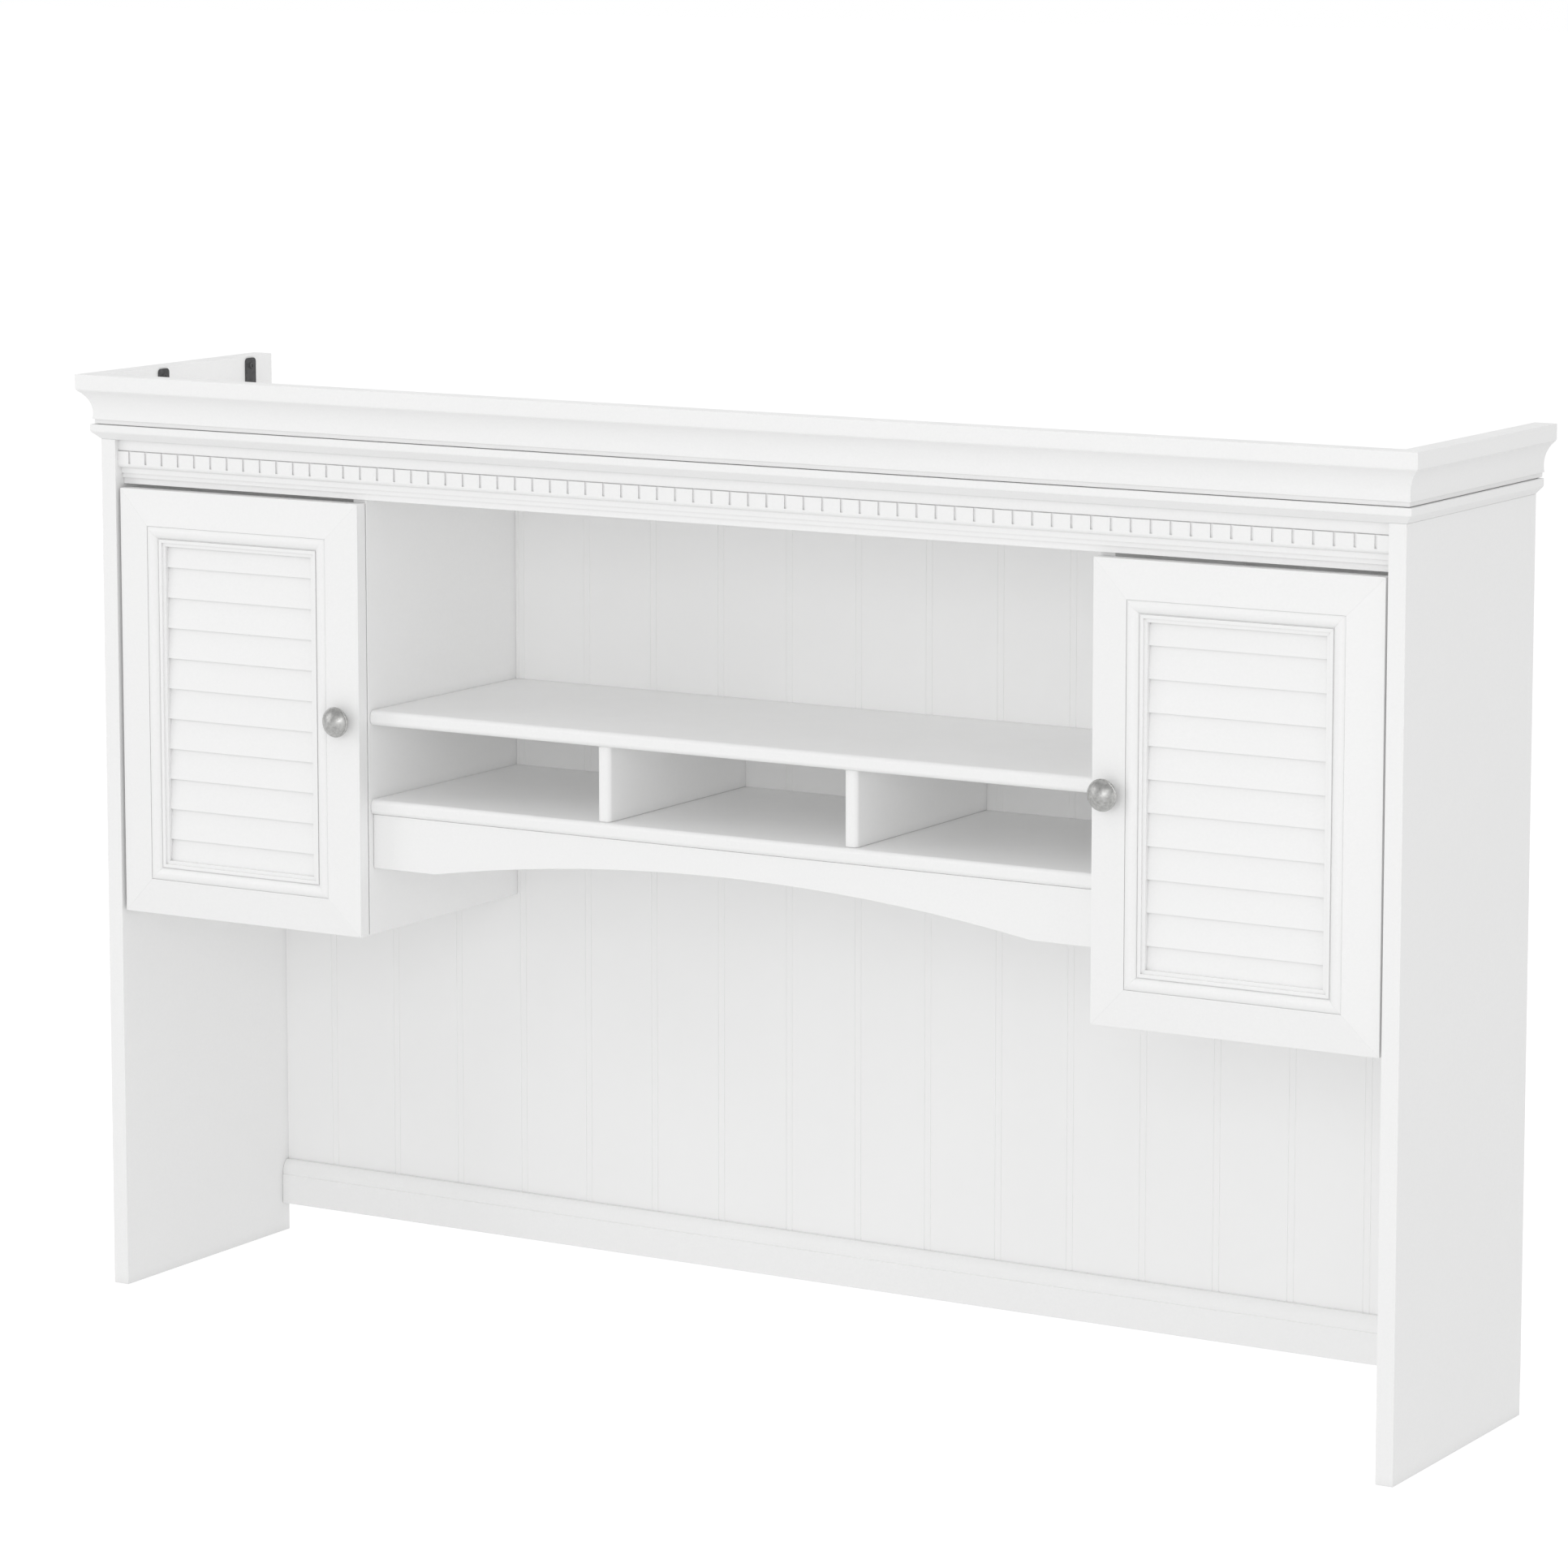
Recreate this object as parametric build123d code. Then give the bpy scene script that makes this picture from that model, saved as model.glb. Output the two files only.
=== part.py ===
"""Desk hutch: two louvred-door cabinets, shelves, pigeonholes, a beaded back and a crown.

Frame: millimetres, +X across the width, +Y towards the back, +Z up.  The origin is the centre
of the object's box on the plane that the side panels stand on.
"""
from build123d import *
from math import atan2, cos, degrees, hypot, pi, sin
import os

# ---- driving dimensions -------------------------------------------------------------------
WIDTH = 1426.0            # outer face to outer face of the side panels
HEIGHT = 927.0            # floor of the side panels to the top of the crown
SIDE_DEPTH = 278.0
SIDE_T = 17.0
BOARD_T = 15.0            # shelves, partitions, cabinet bottoms, top board
DIVIDER_T = 14.0
BACK_T = 4.0

CROWN_H = 50.0            # height of the crown moulding above the top board
CROWN_OVERHANG = 18.0     # top of the crown beyond the side panels and their front edges
CROWN_T = 22.0            # thickness of the crown at its top
FASCIA_H = 15.0
COVE_FOOT = 6.5           # overhang at the bottom of the cove
FILLET_OVERHANG = 4.5
FILLET_H = 5.0
STEP = 0.9                # small step below the fascia
SHADOW_GAP = 0.6          # rebate along the crown's foot, over the top board
SHADOW_GAP_D = 3.0

TOP_OVERHANG = 8.0        # moulded edge of the top board
TOP_EDGE_FLAT = 6.0
TOP_EDGE_R = 3.0          # rounding between the flat and the slope under it

FRIEZE_BACK = 17.5        # all the "set back" values are from the side panels' front edges
FRIEZE_FACE = 5.7         # flat above the dentils
FRIEZE_QUIRK = 1.0        # depth of the quirk between that flat and the dentils
FRIEZE_QUIRK_H = 0.8
DENTIL_FACE = 4.3
DENTIL_TOP = 850.3
DENTIL_BOTTOM = 838.0
DENTIL_COUNT = 69         # grooves between the dentils
DENTIL_PITCH = 20.05
DENTIL_GROOVE = 2.6
DENTIL_DEPTH = 1.5
FRIEZE_COVE = ((5.4, 835.0), (8.6, 833.6))        # middle and foot of the cove, (set back, height)
FRIEZE_BANDS = ((9.3, 828.2), (11.3, 823.6), (13.6, 817.3))   # set back and lower edge of each band

PARTITION_FRONT = 17.5
PARTITION_X = 403.7       # outer face of a partition, from the middle of the hutch
CABINET_BOTTOM_Z = 386.6
UPPER_SHELF_TOP = 609.5
LOWER_SHELF_TOP = 521.0
SHELF_FRONT = 20.5
DIVIDER_FRONT = 27.4
NOSE_R = 5.0              # rounding on the front edge of the shelves

APRON_FRONT = 24.5
APRON_T = 15.0
APRON_BOTTOM = 452.4
ARCH_HALF_SPAN = 331.1
ARCH_RISE = 27.6

BASE_FRONT = 266.0
BASE_BOTTOM = 30.0
BASE_SHOULDER = 60.8      # top of the rail's flat face, where its receding cap starts
BASE_TOP = 76.0
BASE_STEP = 1.2           # small step between that face and its cap
BASE_CAP = 7.0            # set back of the cap's top, from the flat face
BASE_CAP_MIDDLE = (2.4, 70.0)     # set back and height of a point on the cap's curve
BEAD_PAIRS = 17           # double grooves of the back panel
BEAD_PITCH = 79.3
BEAD_SPACING = 6.85       # between the two grooves of a pair
BEAD_GROOVE = 1.3
BEAD_DEPTH = 0.5

DOOR_GAP = 3.4            # door edge to side panel
DOOR_WIDTH = 288.2
DOOR_BOTTOM = 386.3
DOOR_TOP = 813.8
DOOR_EDGE_FRONT = 2.8     # front arris of the door's outer edge
DOOR_BACK = 16.5
FRAME_FLAT = 35.8         # sloping flat of the door frame
FRAME_RISE = 4.3          # how far the flat comes forward over its width
BEAD_W = 12.1
BEAD_START = 0.8          # set back of the bead's outer end, from the inner edge of the flat
BEAD_CREST = (5.1, -1.5)  # middle of the bead: distance from the flat's inner edge, set back
BEAD_END = 2.9            # set back of its inner end
STEP_LIPS = ((0.7, 1.9), (4.0, 3.7))      # two steps inside the bead: distance from it, set back
INNER_STEP_W = 7.6
INNER_STEP_D = 6.3
SLATS = 11
SLAT_PITCH = 30.4
FIRST_SLAT = 0.69         # visible part of the top slat, of one pitch
SLAT_SHINGLE = 3.0        # how far a slat's lower edge stands out
SLAT_BED = 0.2            # thickness of a slat at its upper edge
PANEL_PLATE = 4.0         # thickness of the panel behind the slats
PANEL_FIT = 0.5           # the panel's play in the frame's grooves
GROOVE_W = 6.0            # groove in the frame that holds the panel

SHELF_T = 15.0            # adjustable shelf in each cabinet
SHELF_FIT = 1.0           # its play at both ends
SHELF_PIN_R = 2.5
SHELF_PIN_REACH = 8.0     # how far a pin stands out of its hole
PIN_Y = (62.0, 238.0)
PIN_STEPS = (-96.0, 0.0, 64.0)    # heights of the pin holes from the ones in use
PIN_HOLE_DEPTH = 9.0
ADJUSTABLE_SHELF_Z = 590.0

KNOB_R = 15.0
KNOB_REACH = 20.0         # knob's tip in front of the door face
KNOB_RIM = 12.6           # widest part of its rim, in front of the door face
KNOB_DOME_FOOT = (13.5, 14.5)     # radius and reach where the dome meets the rim's bead
KNOB_STEM_R = 4.6
KNOB_SEAT_R = 5.6
KNOB_SEAT_T = 1.4
KNOB_FLAT_R = 7.0         # flat cut in the sloping door face for the seat
KNOB_BORE = 8.0           # depth of the threaded hole in its back
KNOB_SCREW_IN = 7.0       # how far its screw reaches into that hole
KNOB_Z = 600.4
SCREW_R = 2.0
SCREW_HEAD_R = 4.2
SCREW_HEAD_T = 2.0

BUMPER_R = 4.0            # soft pads between door and partition
BUMPER_T = 0.7
BUMPER_INSET = 24.0       # from the top and the bottom of the door

# Concealed hinges.  "u" runs inwards from the side panel's inner face, and the other value is
# the set back.  The link turns about the arm pin while the door turns about the cup pin.
HINGE_Z = (450.0, 750.2)  # heights of the two hinges of a door
ARM_PIN = (35.0, 27.0)
CUP_PIN = (6.2, 19.0)
PIN_R = 1.2
PIN_CLEARANCE = 0.05
LINK_T = 2.6
LINK_H = 10.0
LINK_SIDE_GAP = 0.4
ARM_EYE_R = 2.2           # eyes of the link round the two pins
CUP_EYE_R = 1.9
CHEEK_T = 2.0
ARM_T = 4.4               # thickness of the arm
ARM_KNEE = (22.0, 46.0)
ARM_HEEL_Y = 62.0
ARM_TAIL = 8.0            # end of the arm before the plate's end
EAR_W = 3.8               # width of the cup's two ears
CUP_R = 17.5
CUP_DEPTH = 10.5
CUP_WALL = 1.2
CUP_OFFSET = 24.0         # cup centre from the door's edge
WING_HEIGHT = 24.0        # half height of the cup's flange
WING_T = 1.2
PLATE_Y = (52.0, 104.0)   # mounting plate on the side panel
PLATE_T = 8.0
PLATE_H = 34.0
PLATE_WING_T = 2.0        # the plate's wings above and below the arm
PLATE_WING_Y = (60.0, 80.0)

BRACKET_W = 16.6
BRACKET_T = 1.8
BRACKET_LEG = 48.0
BRACKET_FOOT = 24.0
BRACKET_ROUND = 4.0             # rounding of its corners
BRACKET_SCREW_R = 3.2
BRACKET_SCREW_H = 1.6
BRACKET_SCREW_EDGE = 8.0        # screw's middle to the end of the leg or foot
BRACKET_Y = (97.0, 244.0)       # along the returns
BRACKET_X = (-520.0, 0.0, 520.0)  # along the front moulding

CAM_R = 7.5
CAM_DEPTH = 10.0
CAM_INSET = 34.0          # from a board's ends
CAM_Y = (64.0, 232.0)
HARDWARE_PLAY = 0.08      # radial play of pins, cams and cups in their holes

# ---- positions worked out from the dimensions ------------------------------------------------
HALF = WIDTH / 2
TOP_BOARD_TOP = HEIGHT - CROWN_H
TOP_BOARD_BOTTOM = TOP_BOARD_TOP - BOARD_T
KNOB_FACE = DOOR_EDGE_FRONT - FRAME_RISE / 2      # the face of the flat under the knob
BACK_Y = SIDE_DEPTH + BACK_T
FRONT_Y = -(BACK_Y + KNOB_FACE - KNOB_REACH) / 2  # Y of the side panels' front edges
INNER = HALF - SIDE_T


# ---- helpers ---------------------------------------------------------------------------------
def block(x0, x1, y0, y1, z0, z1):
    """A box between two corners."""
    size = (x1 - x0, y1 - y0, z1 - z0)
    return Pos(x0, y0, z0) * Box(*size, align=(Align.MIN, Align.MIN, Align.MIN))


def moulding_x(edges, x0, x1):
    """A moulding along X, from its outline's edges in (y, z)."""
    face = make_face(edges)
    return Pos(x0, 0, 0) * extrude(Plane.YZ * face, amount=x1 - x0)


def rod(radius, start, direction, length):
    """A round bar from a start point."""
    plane = Plane(origin=start, z_dir=direction)
    return extrude(plane * Circle(radius), amount=length)


def outline(points):
    """Straight edges through the points, left open."""
    return Polyline(*points).edges()


def other_side(piece):
    """The same piece on the other side of the hutch."""
    return mirror(piece, about=Plane.YZ)


def group(pieces):
    """Separate identical solids in one node."""
    return Compound(children=[piece.solid() for piece in pieces])


def both_sides(pieces):
    """The same group and its mirror images."""
    return group(pieces + [other_side(piece) for piece in pieces])


def rounded_front(board, direction, radius):
    """Round the two long arrises of a board's front edge."""
    front = board.edges().filter_by(direction).group_by(Axis.Y)[0]
    return fillet(front, radius)


# ---- crown and top board ---------------------------------------------------------------------
def crown_outline():
    """Crown section as (overhang, height) edges: fascia, step, cove and fillet."""
    base = TOP_BOARD_TOP
    fascia_foot = HEIGHT - FASCIA_H
    cove_foot = base + FILLET_H
    cove_top = fascia_foot - STEP
    inner = CROWN_OVERHANG - CROWN_T
    cove_out = CROWN_OVERHANG - STEP
    cove_mid = (COVE_FOOT + 0.29 * (cove_out - COVE_FOOT), cove_foot + 0.71 * (cove_top - cove_foot))
    upper = [(inner, base), (inner, HEIGHT), (CROWN_OVERHANG, HEIGHT),
             (CROWN_OVERHANG, fascia_foot), (cove_out, fascia_foot), (cove_out, cove_top)]
    rebate = FILLET_OVERHANG - SHADOW_GAP_D
    lower = [(COVE_FOOT, cove_foot), (FILLET_OVERHANG, cove_foot), (FILLET_OVERHANG, base + SHADOW_GAP),
             (rebate, base + SHADOW_GAP), (rebate, base), (inner, base)]
    cove = ThreePointArc(upper[-1], cove_mid, lower[0])
    return outline(upper) + cove.edges() + outline(lower)


def mitre_block(side, keep_front):
    """The wedge cut away at a front corner of the crown."""
    turn = 45 if side > 0 else 135
    align = Align.MIN if keep_front else Align.MAX
    reach = 4 * CROWN_T
    wedge = Box(2 * WIDTH, 3 * reach if keep_front else 2 * WIDTH, 4 * CROWN_H,
                align=(align, Align.CENTER, Align.CENTER))
    return Pos(side * HALF, 0, HEIGHT) * Rot(0, 0, turn) * wedge


def crown_front():
    """Front length of the crown, mitred at both ends."""
    length = HALF + CROWN_OVERHANG + 1
    bar = moulding_x(crown_outline(), -length, length)
    bar = mirror(bar, about=Plane.XZ)
    return bar - mitre_block(1, True) - mitre_block(-1, True)


def crown_return_right():
    """Right-hand return of the crown, mitred at its front end."""
    face = Plane.XZ * make_face(crown_outline())
    length = BACK_Y + CROWN_OVERHANG + 1
    bar = Pos(HALF, BACK_Y, 0) * extrude(face, amount=length)
    return bar - mitre_block(1, False)


def board_edge(sign, far):
    """Moulded edge of the top board as (position, height) edges, from its top to its underside."""
    top = TOP_BOARD_TOP
    low = TOP_BOARD_BOTTOM
    edge = far + TOP_OVERHANG
    start = (edge, top - TOP_EDGE_FLAT)
    middle = (edge - TOP_EDGE_R * (1 - cos(pi / 8)), start[1] - TOP_EDGE_R * sin(pi / 8))
    turned = (edge - TOP_EDGE_R * (1 - cos(pi / 4)), start[1] - TOP_EDGE_R * sin(pi / 4))
    points = [(sign * x, z) for x, z in ((edge, top), start, middle, turned, (far, low))]
    rounding = ThreePointArc(*points[1:4])
    return Line(*points[:2]).edges() + rounding.edges() + Line(*points[3:]).edges()


def top_board():
    """Top board, its edge moulded on the front and both ends."""
    top = TOP_BOARD_TOP
    low = TOP_BOARD_BOTTOM
    ends = board_edge(1, HALF) + board_edge(-1, HALF)
    ends += outline([(HALF + TOP_OVERHANG, top), (-HALF - TOP_OVERHANG, top)])
    ends += outline([(HALF, low), (-HALF, low)])
    across = Pos(0, SIDE_DEPTH, 0) * extrude(Plane.XZ * make_face(ends), amount=2 * SIDE_DEPTH)
    front = board_edge(-1, 0)
    front += outline([(-TOP_OVERHANG, top), (SIDE_DEPTH, top), (SIDE_DEPTH, low), (0, low)])
    along = moulding_x(front, -WIDTH, WIDTH)
    return across & along


def bracket(position, turn):
    """One crown bracket: a rounded upright on the moulding and a foot on the top board."""
    top = BRACKET_LEG
    upright = Pos(0, BRACKET_T / 2, top / 2) * Box(BRACKET_W, BRACKET_T, top)
    upright = fillet(upright.edges().filter_by(Axis.Y).group_by(Axis.Z)[-1], BRACKET_ROUND)
    foot = Pos(0, BRACKET_FOOT / 2, BRACKET_T / 2) * Box(BRACKET_W, BRACKET_FOOT, BRACKET_T)
    foot = fillet(foot.edges().filter_by(Axis.Z).group_by(Axis.Y)[-1], BRACKET_ROUND)
    return position * Rot(0, 0, turn) * (upright + foot)


def bracket_places():
    """Where the crown brackets stand: two on each return and three on the front moulding."""
    inner = CROWN_OVERHANG - CROWN_T
    side_x = HALF + inner
    right = [(Pos(side_x, y, TOP_BOARD_TOP), 90) for y in BRACKET_Y]
    left = [(Pos(-side_x, y, TOP_BOARD_TOP), -90) for y in BRACKET_Y]
    front = [(Pos(x, -inner, TOP_BOARD_TOP), 0) for x in BRACKET_X]
    return right + left + front


def screw_heads(position, turn):
    """The two screw heads of a crown bracket."""
    upright = (0, BRACKET_T, BRACKET_LEG - BRACKET_SCREW_EDGE)
    foot = (0, BRACKET_FOOT - BRACKET_SCREW_EDGE, BRACKET_T)
    heads = [rod(BRACKET_SCREW_R, upright, (0, 1, 0), BRACKET_SCREW_H),
             rod(BRACKET_SCREW_R, foot, (0, 0, 1), BRACKET_SCREW_H)]
    return [(position * Rot(0, 0, turn) * head).solid() for head in heads]


# ---- carcass ---------------------------------------------------------------------------------
def shelf_pin_points():
    """Centres (set back, height) of the four pins under an adjustable shelf."""
    height = ADJUSTABLE_SHELF_Z - SHELF_T - SHELF_PIN_R
    return [(y, height) for y in PIN_Y]


def pin_holes(face_x, into):
    """Blind pin holes in a panel: three heights at the front and at the back."""
    holes = []
    for y, middle in shelf_pin_points():
        for step in PIN_STEPS:
            holes.append(rod(SHELF_PIN_R, (face_x, y, middle + step), (into, 0, 0), PIN_HOLE_DEPTH))
    return holes


def side_panel_left():
    """Left side panel, standing from the desk to the top board."""
    panel = block(-HALF, -INNER, 0, SIDE_DEPTH, 0, TOP_BOARD_BOTTOM)
    return panel - pin_holes(-INNER, -1)


def partition_left():
    """Upright between the left cabinet and the open bay."""
    cabinet_face = -PARTITION_X - BOARD_T
    panel = block(cabinet_face, -PARTITION_X, PARTITION_FRONT, SIDE_DEPTH,
                  CABINET_BOTTOM_Z, TOP_BOARD_BOTTOM)
    return panel - pin_holes(cabinet_face, 1)


def cam_centres(x0, x1, top):
    """Centres of the four cam locks on the underside of a board."""
    return [(x, y, top - BOARD_T) for x in (x0 + CAM_INSET, x1 - CAM_INSET) for y in CAM_Y]


def cam_locks(x0, x1, top, radius=CAM_R - HARDWARE_PLAY):
    """The four cam locks of a board, flush with its underside."""
    return [rod(radius, centre, (0, 0, 1), CAM_DEPTH) for centre in cam_centres(x0, x1, top)]


def cabinet_bottom_left():
    """Bottom board of the left cabinet."""
    top = CABINET_BOTTOM_Z + BOARD_T
    x0, x1 = -INNER, -PARTITION_X - BOARD_T
    board = block(x0, x1, PARTITION_FRONT + 1.5, SIDE_DEPTH, CABINET_BOTTOM_Z, top)
    return board - cam_locks(x0, x1, top, CAM_R)


def adjustable_shelf_left():
    """Loose shelf in the left cabinet, resting on four pins."""
    board = block(-INNER + SHELF_FIT, -PARTITION_X - BOARD_T - SHELF_FIT, 40.0, SIDE_DEPTH - 2.0,
                  ADJUSTABLE_SHELF_Z - SHELF_T, ADJUSTABLE_SHELF_Z)
    return rounded_front(board, Axis.X, 2.0)


def shelf_pins_left():
    """The four shelf pins of the left cabinet."""
    length = PIN_HOLE_DEPTH + SHELF_PIN_REACH
    radius = SHELF_PIN_R - HARDWARE_PLAY
    ends = ((-INNER - PIN_HOLE_DEPTH, 1), (-PARTITION_X - BOARD_T + PIN_HOLE_DEPTH, -1))
    return [rod(radius, (x, y, height), (into, 0, 0), length)
            for y, height in shelf_pin_points() for x, into in ends]


def fixed_shelf(top):
    """A full-width shelf of the open bay with a rounded nose."""
    board = block(-PARTITION_X, PARTITION_X, SHELF_FRONT, SIDE_DEPTH, top - BOARD_T, top)
    board = rounded_front(board, Axis.X, NOSE_R)
    return board - cam_locks(-PARTITION_X, PARTITION_X, top, CAM_R)


def divider_left():
    """Upright between the left and the middle pigeonhole."""
    opening = (2 * PARTITION_X - 2 * DIVIDER_T) / 3
    x0 = -PARTITION_X + opening
    board = block(x0, x0 + DIVIDER_T, DIVIDER_FRONT, SIDE_DEPTH,
                  LOWER_SHELF_TOP, UPPER_SHELF_TOP - BOARD_T)
    return rounded_front(board, Axis.Z, NOSE_R)


def arched_apron():
    """Apron under the lower shelf, its lower edge cut to a shallow arch."""
    top = LOWER_SHELF_TOP - BOARD_T
    low = APRON_BOTTOM
    edges = outline([(ARCH_HALF_SPAN, low), (PARTITION_X, low), (PARTITION_X, top),
                     (-PARTITION_X, top), (-PARTITION_X, low), (-ARCH_HALF_SPAN, low)])
    arch = ThreePointArc((-ARCH_HALF_SPAN, low), (0, low + ARCH_RISE), (ARCH_HALF_SPAN, low))
    face = Plane.XZ * make_face(edges + arch.edges())
    return Pos(0, APRON_FRONT + APRON_T, 0) * extrude(face, amount=APRON_T)


def back_panel():
    """Beaded back panel, fixed over the rear edges."""
    inset = 1.5
    panel = block(-HALF + inset, HALF - inset, SIDE_DEPTH, BACK_Y, BASE_BOTTOM, TOP_BOARD_TOP - 1)
    grooves = []
    for pair in range(BEAD_PAIRS):
        middle = (pair - (BEAD_PAIRS - 1) / 2) * BEAD_PITCH
        for offset in (-BEAD_SPACING / 2, BEAD_SPACING / 2):
            x = middle + offset
            grooves.append(block(x - BEAD_GROOVE / 2, x + BEAD_GROOVE / 2, SIDE_DEPTH - 1,
                                 SIDE_DEPTH + BEAD_DEPTH, 0, HEIGHT))
    return panel - grooves


def base_rail():
    """Rail across the bottom of the back: a flat face under a receding cap."""
    start = (BASE_FRONT + BASE_STEP, BASE_SHOULDER)
    middle = (BASE_FRONT + BASE_CAP_MIDDLE[0], BASE_CAP_MIDDLE[1])
    end = (BASE_FRONT + BASE_CAP, BASE_TOP)
    lower = outline([end, (SIDE_DEPTH, BASE_TOP), (SIDE_DEPTH, BASE_BOTTOM),
                     (BASE_FRONT, BASE_BOTTOM), (BASE_FRONT, BASE_SHOULDER), start])
    cap = ThreePointArc(start, middle, end)
    return moulding_x(lower + cap.edges(), -INNER, INNER)


def frieze_rail():
    """Rail under the top board: flat face, dentil band, cove and three receding bands."""
    top = TOP_BOARD_BOTTOM
    sunk = FRIEZE_FACE + FRIEZE_QUIRK
    quirk_top = DENTIL_TOP + FRIEZE_QUIRK_H
    cove_start = (DENTIL_FACE, DENTIL_BOTTOM)
    cove_middle, cove_foot = FRIEZE_COVE
    upper = outline([(FRIEZE_BACK, top), (FRIEZE_FACE, top), (FRIEZE_FACE, quirk_top),
                     (sunk, quirk_top), (sunk, DENTIL_TOP), (DENTIL_FACE, DENTIL_TOP), cove_start])
    cove = ThreePointArc(cove_start, cove_middle, cove_foot)
    lower = [cove_foot]
    for set_back, low_edge in FRIEZE_BANDS:
        lower += [(set_back, lower[-1][1]), (set_back, low_edge)]
    lower += [(FRIEZE_BACK, lower[-1][1]), (FRIEZE_BACK, top)]
    rail = moulding_x(upper + cove.edges() + outline(lower), -INNER, INNER)
    grooves = []
    for index in range(DENTIL_COUNT):
        x = (index - (DENTIL_COUNT - 1) / 2) * DENTIL_PITCH
        grooves.append(block(x - DENTIL_GROOVE / 2, x + DENTIL_GROOVE / 2, 0,
                             DENTIL_FACE + DENTIL_DEPTH, DENTIL_BOTTOM, DENTIL_TOP + FRIEZE_QUIRK_H / 2))
    return rail - grooves


# ---- doors (the left one; the right one is its mirror image) ----------------------------------
DOOR_X = -INNER + DOOR_GAP            # outer edge of the left door
DOOR_HEIGHT = DOOR_TOP - DOOR_BOTTOM
FRAME_W = FRAME_FLAT + BEAD_W + INNER_STEP_W
FLAT_FRONT = DOOR_EDGE_FRONT - FRAME_RISE
PANEL_FRONT = FLAT_FRONT + INNER_STEP_D
PANEL_BASE = PANEL_FRONT + SLAT_SHINGLE + SLAT_BED
PANEL_BACK = PANEL_BASE + PANEL_PLATE


def frame_outline():
    """Door frame section as (distance from the outer edge, set back) edges."""
    bead_start = (FRAME_FLAT, FLAT_FRONT + BEAD_START)
    bead_end = (FRAME_FLAT + BEAD_W, FLAT_FRONT + BEAD_END)
    crest = (FRAME_FLAT + BEAD_CREST[0], FLAT_FRONT + BEAD_CREST[1])
    face = [(0, DOOR_BACK), (0, DOOR_EDGE_FRONT), (FRAME_FLAT, FLAT_FRONT), bead_start]
    steps = [bead_end]
    for distance, set_back in STEP_LIPS:
        steps += [(bead_end[0] + distance, steps[-1][1]), (bead_end[0] + distance, FLAT_FRONT + set_back)]
    steps += [(FRAME_W, steps[-1][1]), (FRAME_W, PANEL_BASE), (FRAME_W - GROOVE_W, PANEL_BASE),
              (FRAME_W - GROOVE_W, PANEL_BACK), (FRAME_W, PANEL_BACK), (FRAME_W, DOOR_BACK), (0, DOOR_BACK)]
    return outline(face) + ThreePointArc(bead_start, crest, bead_end).edges() + outline(steps)


def frame_member(length):
    """A mitred frame member along +Z, its outer edge at x = 0."""
    bar = extrude(make_face(frame_outline()), amount=length)
    corners = [(0, 0), (FRAME_W, FRAME_W), (FRAME_W, length - FRAME_W), (0, length)]
    prism = Pos(0, 30, 0) * extrude(Plane.XZ * make_face(Polyline(*corners, close=True)), amount=60)
    return bar & prism


def cup_places():
    """Centres of the hinge cups on the back of the left door."""
    return [(DOOR_X + CUP_OFFSET, DOOR_BACK, z) for z in HINGE_Z]


def hinge_stile_left():
    """Outer stile, bored for the two hinge cups."""
    stile = Pos(DOOR_X, 0, DOOR_BOTTOM) * frame_member(DOOR_HEIGHT)
    return stile - [rod(CUP_R, centre, (0, -1, 0), CUP_DEPTH) for centre in cup_places()]


KNOB_X = DOOR_X + DOOR_WIDTH - FRAME_FLAT / 2


def latch_stile_left():
    """Inner stile, with the knob's seat and screw hole."""
    stile = Pos(DOOR_X + DOOR_WIDTH, 0, DOOR_BOTTOM) * mirror(frame_member(DOOR_HEIGHT), about=Plane.YZ)
    seat = rod(KNOB_FLAT_R, (KNOB_X, KNOB_FACE, KNOB_Z), (0, -1, 0), 6.0)
    hole = rod(SCREW_R + HARDWARE_PLAY, (KNOB_X, DOOR_BACK + 1, KNOB_Z), (0, -1, 0),
               DOOR_BACK - KNOB_FACE + 2)
    sink = rod(SCREW_HEAD_R + HARDWARE_PLAY, (KNOB_X, DOOR_BACK, KNOB_Z), (0, -1, 0), SCREW_HEAD_T)
    return stile - seat - hole - sink


def top_rail_left():
    return Pos(DOOR_X, 0, DOOR_TOP) * Rot(0, 90, 0) * frame_member(DOOR_WIDTH)


def bottom_rail_left():
    return Pos(DOOR_X + DOOR_WIDTH, 0, DOOR_BOTTOM) * Rot(0, -90, 0) * frame_member(DOOR_WIDTH)


def louvre_panel_left():
    """Door panel whose face is moulded as a column of overlapping slats."""
    inner = FRAME_W - GROOVE_W + PANEL_FIT
    plate = block(DOOR_X + inner, DOOR_X + DOOR_WIDTH - inner, PANEL_BASE, PANEL_BACK,
                  DOOR_BOTTOM + inner, DOOR_TOP - inner)
    x0 = DOOR_X + FRAME_W
    x1 = DOOR_X + DOOR_WIDTH - FRAME_W
    top = DOOR_TOP - FRAME_W
    bottom = DOOR_BOTTOM + FRAME_W
    for index in range(SLATS):
        upper = min(top, top - (FIRST_SLAT - 1 + index) * SLAT_PITCH)
        lower = max(bottom, top - (FIRST_SLAT + index) * SLAT_PITCH)
        slope = SLAT_SHINGLE / SLAT_PITCH
        head = PANEL_BASE - SLAT_BED - slope * (top - (FIRST_SLAT - 1 + index) * SLAT_PITCH - upper)
        foot = head - slope * (upper - lower)
        corners = [(PANEL_BASE, upper), (head, upper), (foot, lower), (PANEL_BASE, lower),
                   (PANEL_BASE, upper)]
        plate += moulding_x(outline(corners), x0, x1)
    return plate


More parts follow.
